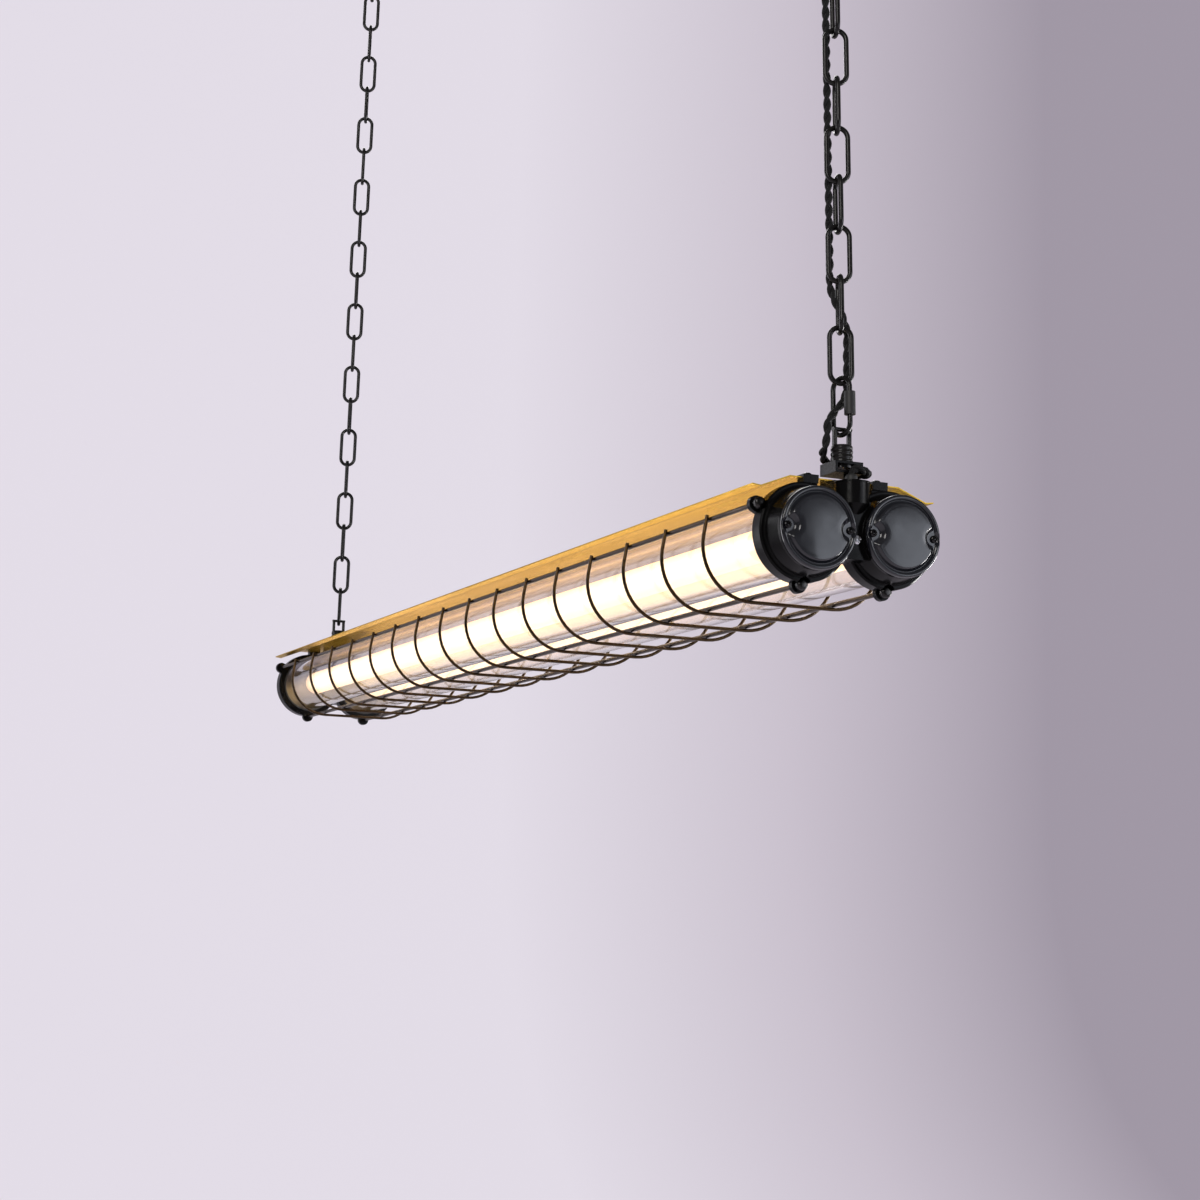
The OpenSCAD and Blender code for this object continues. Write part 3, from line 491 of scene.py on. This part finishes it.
EYE = (-0.86228, -2.16291, -1.25305)
TURN = (98.2689, -1.3011, -23.7344)     # degrees about X, Y and Z
cam_data = bpy.data.cameras.new("camera")
cam_data.sensor_width = 36.0
cam_data.lens = 69.883
cam_data.clip_end = 60
camera = bpy.data.objects.new("camera", cam_data)
scene.collection.objects.link(camera)
aim = Euler([math.radians(angle) for angle in TURN])
camera.matrix_world = Matrix.Translation(EYE) @ aim.to_matrix().to_4x4()
scene.camera = camera


# Cord

def hook_point(p):
    """[across, along, distance down] from the near hook, in mm, with no lean."""
    return [p[0] * MM, -HOOK_Y + p[1] * MM, HOOK_Z - p[2] * MM]


def line_point(p):
    """The same, carried down the near chain's leaning line."""
    across, along, down = p
    return [across * MM,
            -HOOK_Y + (along * math.cos(LEAN) - down * math.sin(LEAN)) * MM,
            HOOK_Z - (along * math.sin(LEAN) + down * math.cos(LEAN)) * MM]


def lamp_point(p):
    """[across, along from the near hanger, height above the tubes' axes], in mm."""
    return [p[0] * MM, -HANGER_Y + p[1] * MM, AXIS_Z + p[2] * MM]


CORD_TOP = [[0, 24, -41], [0, 24, -31], [0, 24, -25], [0, 21.2, -16], [0, 18, -8],
            [0, 17, -4], [0, 17, -0.6]]
CORD_LINK = [[0, 17, 3], [-3, 16, 11], [-9, 12.5, 20], [-13.6, 6, 29],
             [-13.6, 0, 37.5], [-13.6, 0, 39.7]]
CORD_RUN = [[-13.6, 0, 43], [-10, 5, 56], [-5, 7.6, 68], [-4, 7.6, 82],
            [-4, 7.6, 160], [-4, 7.6, 250], [-4, 7.6, 340], [-4, 7.6, 430], [-4, 7.6, 520],
            [-4, 7.6, 600], [-4, 7.6, 670], [-4, 7.6, 692], [-2.4, 4.8, 704],
            [0.4, 1.8, 713], [5, 2.2, 722], [8, 3.8, 731.5], [7.6, 3.8, 750],
            [7.5, 3.8, 767], [6.7, 3.8, 776], [4.6, 2.5, 782], [0.2, 0.3, 789], [-6, -0.6, 796],
            [-11.5, -0.2, 803], [-12.6, 0, 807]]
CORD_TAIL = [[-12.6, 0, 83.4], [-12.6, 0, 80], [-13.5, 1.5, 70.5], [-12.5, 7.5, 65],
             [-7.5, 13.5, 62], [0, 16.8, 59.4], [8, 17, 57], [14.6, 14.4, 54.5], [16.2, 5, 51.5],
             [16.2, -6, 49.2], [15, -14, 48.6], [9.8, -17.6, 50], [4.4, -17.4, 51.2],
             [0.4, -16.3, 49.6], [-0.5, -16, 46.4], [-0.5, -16, 40], [-0.5, -16, 30]]
ROUTE = np.array([hook_point(p) for p in CORD_TOP] + [line_point(p) for p in CORD_LINK]
                 + [line_point(p) for p in CORD_RUN] + [lamp_point(p) for p in CORD_TAIL])
CUT_ON_LINK = line_point([-4.5, 15.2, 13.5])    # here the cord hangs from the first link alone
CUT_ON_CHAIN = line_point([-4, 7.6, 640])       # and here from the chain alone
CORD_STEP = 1.4 * MM
FINE_STEPS = 40                                 # per stretch between two points of the route


def smooth_route(points):
    """Catmull-Rom curve through the points, sampled anew at equal steps of arc length. From b
    to c, with a before them and d after, it is half of
    2 b + (c - a) t + (2 a - 5 b + 4 c - d) t^2 + (3 b - a - 3 c + d) t^3."""
    p = np.concatenate([points[:1], points, points[-1:]])
    t = np.linspace(0, 1, FINE_STEPS, endpoint=False)[None, :, None]
    a, b, c, d = (p[i:len(p) - 3 + i, None, :] for i in range(4))
    curve = 0.5 * (2 * b + (c - a) * t + (2 * a - 5 * b + 4 * c - d) * t ** 2
                   + (3 * b - a - 3 * c + d) * t ** 3)
    curve = np.concatenate([curve.reshape(-1, 3), points[-1:]])
    along = np.concatenate([[0], np.cumsum(np.linalg.norm(np.diff(curve, axis=0), axis=1))])
    even = np.linspace(0, along[-1], int(round(along[-1] / CORD_STEP)) + 1)
    return np.stack([np.interp(even, along, curve[:, k]) for k in range(3)], 1), even


def unit(v):
    """Vectors in the same directions with the length 1."""
    return v / np.linalg.norm(v, axis=-1, keepdims=True)


def square_to(v, direction):
    """Unit vectors: v less its part along the direction."""
    return unit(v - (v * direction).sum(1, keepdims=True) * direction)


TWIST_PITCH = 22 * MM
STRAND_R = 1.85 * MM
STRAND_OFF = 1.38 * MM              # a strand's centre from the cord's
STRAND_SIDES = 10
STRAND_START = (0.35, 0.2, 0.0)     # the first strand starts on this side


def twisted_pair(path, along):
    """Two strands wound round a path: centre = path + o (cos f N + sin f B), where f grows
    with the arc length by one turn per pitch and strand 2 is half a turn on. N is a fixed
    direction made square to the path and B is square to both. Each strand is a ring of
    radius r about its own centre: point = centre + r (cos a U + sin a V)."""
    tangent = unit(np.gradient(path, axis=0))
    normal = square_to(np.array(STRAND_START) + np.zeros_like(path), tangent)
    binormal = np.cross(tangent, normal)
    a = angles(STRAND_SIDES)[..., None]
    rows = len(path)
    parts, uvs = [], []
    for half_turns in (0, 1):
        f = (TAU * along / TWIST_PITCH + half_turns * math.pi)[:, None]
        radial = np.cos(f) * normal + np.sin(f) * binormal
        centre = path + STRAND_OFF * radial
        run = unit(np.gradient(centre, axis=0))
        u = square_to(radial, run)
        v = np.cross(run, u)
        rings = centre[:, None] + STRAND_R * (np.cos(a) * u[:, None] + np.sin(a) * v[:, None])
        parts.append(capped(rings, grid_faces(rows, STRAND_SIDES), rows, STRAND_SIDES))
        uv = np.broadcast_arrays(along[:, None], np.arange(STRAND_SIDES) / STRAND_SIDES)
        uvs.append(np.stack(uv, -1).reshape(-1, 2))
    return *merge(parts), np.concatenate(uvs)


def add_uv(obj, uv):
    """A UV map from one (u, v) pair per point, with v carried past 1 where a face wraps."""
    mesh = obj.data
    layer = mesh.uv_layers.new(name="strand")
    loops = np.zeros(len(mesh.loops), np.int64)
    mesh.loops.foreach_get("vertex_index", loops)
    per_loop = uv[loops].copy()
    starts = np.zeros(len(mesh.polygons), np.int64)
    mesh.polygons.foreach_get("loop_start", starts)
    owner = np.searchsorted(starts, np.arange(len(loops)), side="right") - 1
    low = np.minimum.reduceat(per_loop[:, 1], starts)
    high = np.maximum.reduceat(per_loop[:, 1], starts)
    wraps = ((high - low) > 0.5)[owner] & (per_loop[:, 1] < 0.5)
    per_loop[wraps, 1] += 1
    layer.data.foreach_set("uv", per_loop.astype(np.float32).ravel())


full_path, full_along = smooth_route(ROUTE)


def nearest(point):
    """Number of the sample of the cord's path that lies nearest to a point."""
    return int(np.argmin(np.linalg.norm(full_path - np.array(point), axis=1)))


def cord_piece(name, first, last, replaced):
    """One stretch of the twisted cord, between two samples of its path, with its finish, hiding
    the nodes that it replaces."""
    path, along = full_path[first:last + 1], full_along[first:last + 1]
    points, faces, uv = twisted_pair(path, along)
    obj = new_object(name, points, faces)
    add_uv(obj, uv)
    dress(obj, "braided_cord", None, *replaced)
    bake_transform(obj)


CUT_1, CUT_2, CORD_END = nearest(CUT_ON_LINK), nearest(CUT_ON_CHAIN), len(full_path) - 1
cord_piece("twisted_cord_top", 0, CUT_1,
           ["cord_top"])
cord_piece("twisted_cord_run", CUT_1, CUT_2,
           ["cord_link", "cord_run"])
cord_piece("twisted_cord_tail", CUT_2, CORD_END,
           ["cord_tail"])


# Pressed covers

SUNK = 0.25 * MM                    # face and seats lie this much below the plain solid's
FACE_R = 25.3 * MM                  # about half-way down the face's edge
SCALLOP_R = 8.1 * MM                # about half-way down the scallop round a screw
SCALLOP_SLOPE = 0.78                # of its wall, where the face's edge has 1
CORNER = 1.6                        # per mm: a greater one lets edge and scallop meet sharper
EDGE_TOP, EDGE_FOOT = -1.4, 1.9     # mm: the face ends at the one, its wall at the other
CROWN_H = 0.6 * MM                  # rise of the face to its middle
CROWN_FROM = -4                     # mm, where the crown starts to fade towards the edge
BEAD_AT, BEAD_W, BEAD_H = 29.7 * MM, 2.05 * MM, 1.9 * MM    # radius, half width, height
BEAD_CLEAR = (3.1 * MM, 6.2 * MM)   # from a screw, where the bead starts and is whole
RIM_FROM, RIM_DROP = 31.2 * MM, 0.35 * MM       # rounding of the outer edge
INNER_R = 16 * MM                   # inside this the rings of points are wider apart
COVER_RINGS, COVER_SIDES = (12, 84), 240        # rings inside and outside of it
WALL = [(0, 1.2), (0, 0.5), (-0.12, 0.1), (-0.5, 0)]     # mm: past the rim, above the back


def ease(x, low, high):
    """0 below low, 1 above high, 3 t^2 - 2 t^3 between them."""
    t = np.clip((x - low) / (high - low), 0, 1)
    return t * t * (3 - 2 * t)


def cover_surface():
    """Pressed cover as a height over polar points (r, a). With d the greater, in mm, of
    r - R_face and s (R_scallop - distance to the nearer screw), rounded where they meet as
    log(e^(c d1) + e^(c d2)) / c, the face stands at full height up to its top edge and eases
    to the seat at its foot, so that each scallop is a shallow dish. A crown k (1 - r^2/R^2)
    lies on it. Outside it a bead of half-round profile follows the rim, and fades where a
    screw's seat cuts it. Then a side wall and a flat back close the shape."""
    inner, outer = COVER_RINGS
    r = np.concatenate([np.linspace(0, INNER_R, inner, endpoint=False),
                        np.linspace(INNER_R, COVER_R, outer)])[:, None]
    a = angles(COVER_SIDES) + 0.5 * TAU / COVER_SIDES
    x, y = r * np.cos(a), r * np.sin(a)
    to_screw = np.minimum(np.hypot(x - SCREW_OUT, y), np.hypot(x + SCREW_OUT, y))
    over_face = (r - FACE_R) / MM
    over_scallop = SCALLOP_SLOPE * (SCALLOP_R - to_screw) / MM
    d = np.log(np.exp(CORNER * over_face) + np.exp(CORNER * over_scallop)) / CORNER
    face = (COVER_H - SEAT_H) * (1 - ease(d, EDGE_TOP, EDGE_FOOT))
    crown = CROWN_H * (1 - (r / FACE_R) ** 2) * (1 - ease(d, CROWN_FROM, 0))
    half_round = np.sqrt(np.clip(1 - ((r - BEAD_AT) / BEAD_W) ** 2, 0, 1))
    bead = BEAD_H * half_round * ease(to_screw, *BEAD_CLEAR)
    z = SEAT_H - SUNK + np.maximum(face + crown, bead) - RIM_DROP * ease(r, RIM_FROM, COVER_R)
    wall = np.array([(COVER_R + past * MM, up * MM) for past, up in WALL] + [(0.0, 0.0)])
    points = np.concatenate([around(r, z, a), around(wall[:, :1], wall[:, 1:], a)])[::-1]
    return points, grid_faces(len(points), COVER_SIDES)


cover_points, cover_faces = cover_surface()
for end, end_word in ENDS.items():
    for side, side_word in SIDES.items():
        points = placed(cover_points, OUT[end], (side * TUBE_X, end * COVER_Y, AXIS_Z))
        dress(new_object(f"pressed_cover_{end_word}_{side_word}", points, cover_faces),
              "cover_enamel", "lamp", f"{end_word}_{side_word}_cover")


# Fasteners

RIM_SHARE = 0.55                # of a pan head's height, where its rim ends and its dome begins
RIM_TAPER = 0.0625              # of its radius, lost by there
RIM_STEPS = (0, 0.24, 0.6, 1)   # shares of the rim's height
CROSS_ARM = (0.135, 0.1875)     # half width of an arm at its floor and at its top, in head radii
CROSS_REACH = (0.527, 0.682)    # and half its length
CROSS_DEEP = 0.55               # of the head's height
HEAD_SIDES, DOME_RINGS = 64, 21


def slope_off(x, whole, none):
    """1 up to whole, 0 from none on, a straight line between them."""
    return np.clip((none - x) / (none - whole), 0, 1)


def cross_screw(head_r, head_h, shank_r, shank_len):
    """Pan head with a cross recess. Turned profile of tip, shank, seat, rim and domed head.
    The rim's radius is R (1 - k t^2) at the share t of its height, and the dome's height is
    h (1 - q (r / r_rim)^2). The dome is sunk by d where the point lies within the arms of a
    cross: |x| or |y| under the arm's half width and the other under its reach."""
    t = np.array(RIM_STEPS)
    rim_r, rim_z = head_r * (1 - RIM_TAPER * t ** 2), head_h * RIM_SHARE * t
    in_dome = np.linspace(1, 0, DOME_RINGS + 1)[1:]
    dome_z = head_h * (1 - (1 - RIM_SHARE) * in_dome ** 2)
    radius = np.concatenate([[0, shank_r, shank_r], rim_r, in_dome * rim_r[-1]])
    height = np.concatenate([[-shank_len, -shank_len, 0], rim_z, dome_z])
    points, faces = turned(radius, height, HEAD_SIDES)
    x, y = abs(points[..., 0]) / head_r, abs(points[..., 1]) / head_r
    recess = slope_off(np.minimum(x, y), *CROSS_ARM) * slope_off(np.maximum(x, y), *CROSS_REACH)
    points[-DOME_RINGS:, :, 2] -= CROSS_DEEP * head_h * recess[-DOME_RINGS:]
    return points, faces


def screws(name, kind, places, slot, replaced):
    """Copies of one screw: each place gives three axes, an origin and a turn of the cross."""
    points, faces = cross_screw(**kind)
    parts = []
    for axes, origin, turn in places:
        c, s = math.cos(turn), math.sin(turn)
        spun = points @ np.array([(c, s, 0), (-s, c, 0), (0, 0, 1)])
        parts.append((placed(spun, axes, origin), faces))
    dress(new_object(name, *merge(parts)), slot, "lamp", replaced)


WEB_SCREW = (RING_Y + 28 * MM, AXIS_Z - 5 * MM)             # y and z of each screw's seat
CLIP_SCREW = (RING_Y + 4.5 * MM, AXIS_Z + 45.2 * MM)
CLIP_X = 30 * MM
HANGER_SCREW_X, HANGER_SCREW_Z = 5.5 * MM, AXIS_Z + 50.2 * MM

screws("cross_screws_of_covers",
       dict(head_r=3.0 * MM, head_h=2.4 * MM, shank_r=1.5 * MM, shank_len=11 * MM),
       [(OUT[end], (side * TUBE_X + at * SCREW_OUT, end * (COVER_Y + SEAT_H), AXIS_Z),
         0.5 + 1.7 * side + 0.9 * at) for end in ENDS for side in SIDES for at in (-1, 1)],
       "blackened_screw", "cover_screws")
screws("cross_screws_of_web",
       dict(head_r=3.6 * MM, head_h=2.3 * MM, shank_r=2 * MM, shank_len=7 * MM),
       [(OUT[end], (0, end * WEB_SCREW[0], WEB_SCREW[1]), 0.3) for end in ENDS],
       "zinc_steel", "web_screws")
screws("cross_screws_of_clips",
       dict(head_r=3.4 * MM, head_h=2.5 * MM, shank_r=1.8 * MM, shank_len=9 * MM),
       [(UP, (side * CLIP_X, end * CLIP_SCREW[0], CLIP_SCREW[1]), 0.8 * side + end)
        for end in ENDS for side in SIDES],
       "blackened_screw", "clip_screws")
screws("cross_screws_of_hangers",
       dict(head_r=4.2 * MM, head_h=2.4 * MM, shank_r=2 * MM, shank_len=15 * MM),
       [(UP, (-end * HANGER_SCREW_X, end * HANGER_Y, HANGER_SCREW_Z), 0.4) for end in ENDS],
       "brass_screw", "box_screws")


NUT_R, NUT_LEN = 4.6 * MM, 7 * MM
NUT_BACK = [(0, 0.3), (0, 0.9)]             # profile in shares of the length and the radius
KNURL_FROM, KNURL_TO = 0.06, 0.72           # of the length
NUT_END = [(0.8, 0.97), (0.9, 0.84), (0.96, 0.66), (1.0, 0.4), (1.0, 0.02)]
KNURL_RINGS, NUT_SIDES = 15, 104
KNURL_WAVES = 13                            # round the nut in each direction
KNURL_TWIST = 900                           # radians per metre of its length
KNURL_DEEP = 0.075                          # of the radius


def knurled_nut():
    """Round cap nut: a profile turned about Z, with the radius of its side times
    1 - k (1 - |sin(n a + m z)| |sin(n a - m z)|), which leaves diamonds, then a bevelled and
    slightly domed end."""
    side = [(share, 1.0) for share in np.linspace(KNURL_FROM, KNURL_TO, KNURL_RINGS)]
    profile = np.array(NUT_BACK + side + NUT_END)
    z, r = profile[:, 0] * NUT_LEN, profile[:, 1] * NUT_R
    points, faces = turned(r, z, NUT_SIDES)
    a, twist = KNURL_WAVES * angles(NUT_SIDES), KNURL_TWIST * z[:, None]
    diamonds = abs(np.sin(a + twist)) * abs(np.sin(a - twist))
    knurled = (profile[:, 1] == 1.0)[:, None]
    points[..., :2] *= (1 - knurled * KNURL_DEEP * (1 - diamonds))[..., None]
    return capped(points, faces, len(profile), NUT_SIDES)


NUT_Y = RING_Y + 5.05 * MM
LOW_ROD_R, UP_ROD_R, ROD_UP = 39.2 * MM, 41.3 * MM, math.radians(28.3)
rod_places = [(side * (TUBE_X + UP_ROD_R * math.cos(ROD_UP)), UP_ROD_R * math.sin(ROD_UP))
              for side in SIDES] + [(side * TUBE_X, -LOW_ROD_R) for side in SIDES]
nut_points, nut_faces = knurled_nut()
nuts = merge([(placed(nut_points, OUT[end], (x, end * NUT_Y, AXIS_Z + z)), nut_faces)
              for end in ENDS for x, z in rod_places])
dress(new_object("knurled_cap_nuts", *nuts), "blackened_screw", "lamp", "rod_nuts")


STUD_R = 8 * MM
STUD_FROM, STUD_TO = 57.45 * MM, 70.6 * MM      # above the tubes' axes
THREAD_PITCH, THREAD_DEEP = 3.7 * MM, 0.55 * MM
THREAD_CLEAR, THREAD_WALL = 0.12 * MM, 1 * MM   # over and under the stud's surface
THREAD_ROWS, THREAD_SIDES = 16, 48              # rows of points per turn, points in a row
FADE_TURNS = 0.4                                # each end of the ridge rises over so many turns


def stud_thread():
    """Helical ridge on a sleeve: outer radius r + d |2 frac(z / p - a / 2 pi) - 1|, with d
    fading to 0 at both ends, closed by an inner wall."""
    rows = int((STUD_TO - STUD_FROM) / THREAD_PITCH * THREAD_ROWS)
    z = np.linspace(STUD_FROM, STUD_TO, rows)[:, None]
    a = angles(THREAD_SIDES)
    saw = abs(2 * ((z / THREAD_PITCH - a / TAU) % 1.0) - 1)
    fade = np.clip(np.minimum(z - STUD_FROM, STUD_TO - z) / (FADE_TURNS * THREAD_PITCH), 0, 1)
    outer = around(STUD_R + THREAD_CLEAR + THREAD_DEEP * saw * fade, z, a)
    inner = around(STUD_R - THREAD_WALL, z, a)[::-1]
    return np.concatenate([outer, inner]), grid_faces(2 * rows, THREAD_SIDES, close_rows=True)


thread_points, thread_faces = stud_thread()
for end, end_word in ENDS.items():
    points = placed(thread_points, UP, (0, end * HANGER_Y, AXIS_Z))
    dress(new_object(end_word + "_stud_thread", points, thread_faces), "black_iron", "lamp")


# Stage and lights

FLOOR_Z, WALL_TOP_Z = -2.3, 3.4
FLOOR_FRONT, BEND_FROM, WALL_Y, BEND_R = -5.0, 1.0, 5.2, 1.6
STAGE_X = (-7.0, 9.0)
BEND_STEPS = 24
SHADE_X = (2.0, 4.2)            # the wall's painted shade deepens across this stretch
BACKDROP = [(0.85, 0.80, 0.885), (0.66, 0.60, 0.685), (0.40, 0.355, 0.425)]
BACKDROP_SHARE = 0.85           # how much of the sweep's colour is its own light, seen directly
GLOSSY_SHARE = 0.42             # and how much of that reflections show


def pale_stage():
    """Floor and wall in one sweep: y runs back to the wall, then a quarter circle turns up.
    Its colour falls from pale on the left to greyer on the right: painted shade across it."""
    t = np.linspace(0, math.pi / 2, BEND_STEPS)
    y = np.concatenate([[FLOOR_FRONT, BEND_FROM], WALL_Y - BEND_R + BEND_R * np.sin(t), [WALL_Y]])
    z = np.concatenate([[FLOOR_Z, FLOOR_Z], FLOOR_Z + BEND_R - BEND_R * np.cos(t), [WALL_TOP_Z]])
    points = np.stack(np.broadcast_arrays(np.array(STAGE_X), y[:, None], z[:, None]), -1)
    faces = [[2 * i, 2 * i + 1, 2 * i + 3, 2 * i + 2] for i in range(len(y) - 1)]
    sweep = new_object("studio_sweep", points, faces)
    look = Look("pale_sweep", (0.8, 0.78, 0.83), 0.9, Specular_IOR_Level=0.1)
    across = look.span(look.axis("X"), *SHADE_X)
    tone = look.ramp(across, *zip((0.0, 0.5, 1.0), BACKDROP))
    look.feed(Base_Color=tone)
    ray = look.rays()
    glossy = look.calculate("MULTIPLY", ray["Is Glossy Ray"], GLOSSY_SHARE)
    seen = look.calculate("MAXIMUM", ray["Is Camera Ray"], glossy)
    seen = look.calculate("MAXIMUM", seen, ray["Is Transmission Ray"])
    glow = look.node("ShaderNodeEmission", Strength=1.0)
    look.link(tone, glow.inputs["Color"])
    look.show(look.calculate("MULTIPLY", seen, BACKDROP_SHARE), glow)
    sweep.data.materials.append(look.mat)


def light_area(name, place, target, size, power, color):
    """A rectangular softbox at a place, turned to a target."""
    data = bpy.data.lights.new(name, "AREA")
    data.shape = "RECTANGLE"
    data.size, data.size_y = size
    data.energy = power
    data.color = color
    lamp = bpy.data.objects.new(name, data)
    lamp.location = place
    lamp.rotation_euler = (Vector(target) - Vector(place)).to_track_quat("-Z", "Y").to_euler()
    scene.collection.objects.link(lamp)


pale_stage()
light_area("front_softbox", (1.86, -2.84, -0.96), (0, -0.66, -0.95), (1.4, 1.4), 18, (0.84, 0.89, 1.0))
light_area("key_softbox", (-2.4, -3.0, 0.6), (0, -0.5, -0.9), (1.6, 1.6), 70, (1.0, 0.97, 0.94))
light_area("fill_softbox", (2.6, -2.4, -0.6), (0, -0.3, -0.9), (1.2, 1.2), 18, (0.95, 0.96, 1.0))
light_area("left_strip", (-1.3, 0.9, -0.85), (-0.05, -0.64, -0.95), (0.5, 1.5), 13, (0.96, 0.97, 1.0))
light_area("right_strip", (2.0, -0.35, -1.45), (0, -0.66, -0.95), (0.5, 0.8), 42, (1.0, 0.98, 0.98))
light_area("back_softbox", (0.5, 2.6, 1.2), (0, 0.2, -0.8), (2.2, 1.4), 45, (1.0, 0.98, 0.97))

ROOM_COLOR, ROOM_STRENGTH = (0.80, 0.79, 0.82, 1), 0.22
world = bpy.data.worlds.new("studio")
world.use_nodes = True
room = world.node_tree.nodes["Background"]
room.inputs["Color"].default_value = ROOM_COLOR
room.inputs["Strength"].default_value = ROOM_STRENGTH
scene.world = world
scene.view_settings.view_transform = "Standard"
